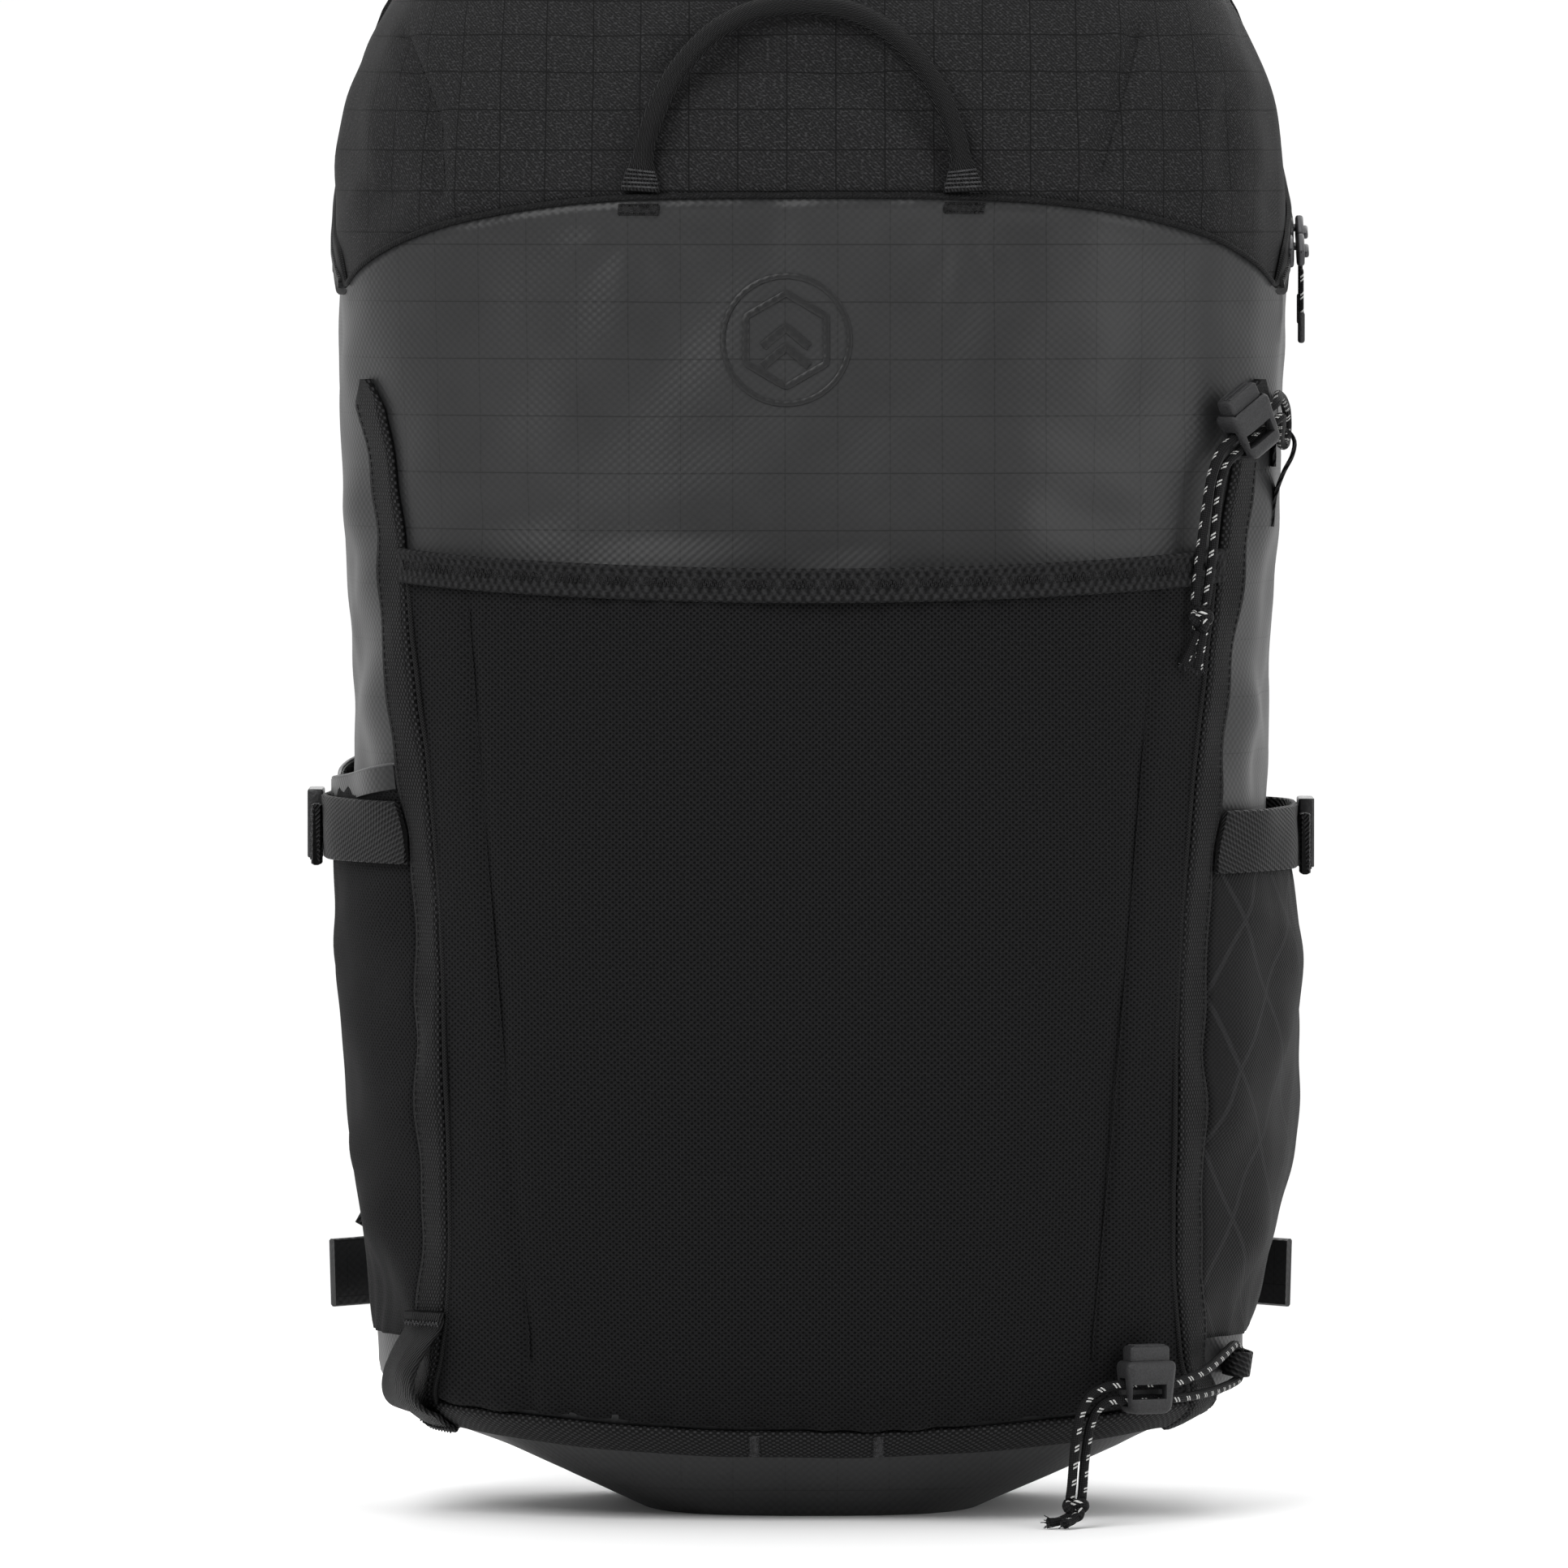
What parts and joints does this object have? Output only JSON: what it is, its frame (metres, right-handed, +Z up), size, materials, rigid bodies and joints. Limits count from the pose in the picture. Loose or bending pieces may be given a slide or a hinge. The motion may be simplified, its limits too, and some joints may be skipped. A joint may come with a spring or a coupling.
{
  "type": "daypack",
  "caption": "Clamshell hiking and ski daypack with a stretch mesh front pocket, carry handle, pole holders and padded shoulder straps.",
  "frame": {"origin": "centre of the bag's bounding box at floor level", "axes": "+Z up, the front with the mesh pocket faces -Y, +X is to the right seen from the front"},
  "size_m": [0.3224, 0.2728, 0.5356],
  "materials": {
    "coated_fabric": "satin coated weave, charcoal",
    "ripstop_fabric": "matte grid weave, near black",
    "stretch_mesh": "black stretch mesh",
    "padded_mesh": "dark spacer mesh over foam",
    "webbing": "black woven webbing",
    "zip_tape": "black coil zip tape",
    "moulded_plastic": "fine spark texture",
    "braided_cord": "black braid with pale flecks",
    "slider_metal": "satin black"
  },
  "bodies": {
    "root": {"anchor_tab_left": "webbing", "anchor_tab_right": "webbing", "back_pad_left": "padded_mesh", "back_pad_right": "padded_mesh", "back_panel": "padded_mesh", "bottom_webbing": "webbing", "compression_buckle_left": "moulded_plastic", "compression_buckle_right": "moulded_plastic", "compression_strap_left": "webbing", "compression_strap_right": "webbing", "cord_knot_lower": "braided_cord", "cord_knot_upper": "braided_cord", "cord_lock_lower": "moulded_plastic", "cord_lock_upper": "moulded_plastic", "edge_webbing_left": "webbing", "edge_webbing_right": "webbing", "emblem_patch": "coated_fabric", "frame_sheet": "moulded_plastic", "front_pocket": "stretch_mesh", "front_pocket_binding": "webbing", "gear_loop_left": "webbing", "hip_buckle_socket": "moulded_plastic", "hip_webbing_left": "webbing", "ladder_lock_left": "moulded_plastic", "ladder_lock_right": "moulded_plastic", "load_lifter_left": "webbing", "load_lifter_right": "webbing", "lower_webbing_left": "webbing", "lower_webbing_right": "webbing", "lumbar_pad": "padded_mesh", "main_shell": "coated_fabric", "pole_cord_lower": "braided_cord", "pole_cord_upper": "braided_cord", "pole_tab_lower": "webbing", "pole_tab_upper": "webbing", "shoulder_strap_left": "padded_mesh", "shoulder_strap_right": "padded_mesh", "side_pocket_left": "stretch_mesh", "side_pocket_right": "stretch_mesh", "sternum_buckle_socket": "moulded_plastic", "sternum_webbing_left": "webbing", "strap_tail_left": "webbing", "strap_tail_right": "webbing", "zip_track_body": "zip_tape"},
    "lid": {"lid_shell": "ripstop_fabric", "zip_track_lid": "zip_tape"},
    "carry_handle": {"carry_handle": "webbing"},
    "zip_slider_front": {"zip_slider_front": "slider_metal"},
    "zip_pull_front": {"zip_pull_front": "braided_cord"},
    "zip_slider_rear": {"zip_slider_rear": "slider_metal"},
    "zip_pull_rear": {"zip_pull_rear": "braided_cord"},
    "haul_loop": {"haul_loop": "webbing"},
    "sternum_plug": {"sternum_buckle_plug": "moulded_plastic", "sternum_webbing_right": "webbing"},
    "hip_plug": {"hip_buckle_plug": "moulded_plastic", "hip_webbing_right": "webbing"},
    "lock_button_upper": {"lock_button_upper": "moulded_plastic"},
    "lock_button_lower": {"lock_button_lower": "moulded_plastic"}
  },
  "joints": [
    {"name": "lid", "type": "hinge", "parent": "root", "child": "lid", "pos_m": [0, -0.109, 0.418], "axis": [1, 0, 0], "range_deg": [0, 60]},
    {"name": "carry_handle", "type": "hinge", "parent": "lid", "child": "carry_handle", "pos_m": [0, -0.109, 0.418], "axis": [1, 0, 0], "range_deg": [0, 60]},
    {"name": "zip_slider_front", "type": "slide", "parent": "root", "child": "zip_slider_front", "axis": [0, 0.9002, 0.4356], "range_m": [-0.018, 0]},
    {"name": "zip_slider_rear", "type": "slide", "parent": "root", "child": "zip_slider_rear", "axis": [0, 0.9002, 0.4356], "range_m": [0, 0.018]},
    {"name": "zip_pull_front", "type": "hinge", "parent": "zip_slider_front", "child": "zip_pull_front", "pos_m": [0.1564, -0.0148, 0.39481], "axis": [0, -0.9002, -0.4356], "range_deg": [0, 25]},
    {"name": "zip_pull_rear", "type": "hinge", "parent": "zip_slider_rear", "child": "zip_pull_rear", "pos_m": [0.1564, -0.00264, 0.40069], "axis": [0, -0.9002, -0.4356], "range_deg": [0, 25]},
    {"name": "haul_loop", "type": "hinge", "parent": "root", "child": "haul_loop", "pos_m": [0, 0.0811, 0.466], "axis": [-1, 0, 0], "range_deg": [0, 60]},
    {"name": "sternum_buckle", "type": "slide", "parent": "root", "child": "sternum_plug", "axis": [1, 0, 0], "range_m": [0, 0.018]},
    {"name": "hip_buckle", "type": "slide", "parent": "root", "child": "hip_plug", "axis": [1, 0, 0], "range_m": [0, 0.018]},
    {"name": "lock_button_upper", "type": "slide", "parent": "root", "child": "lock_button_upper", "axis": [0.357, 0.35, -0.866], "range_m": [0, 0.003], "stiffness_N_per_m": 700},
    {"name": "lock_button_lower", "type": "slide", "parent": "root", "child": "lock_button_lower", "axis": [0, 0, -1], "range_m": [0, 0.003], "stiffness_N_per_m": 700}
  ]
}
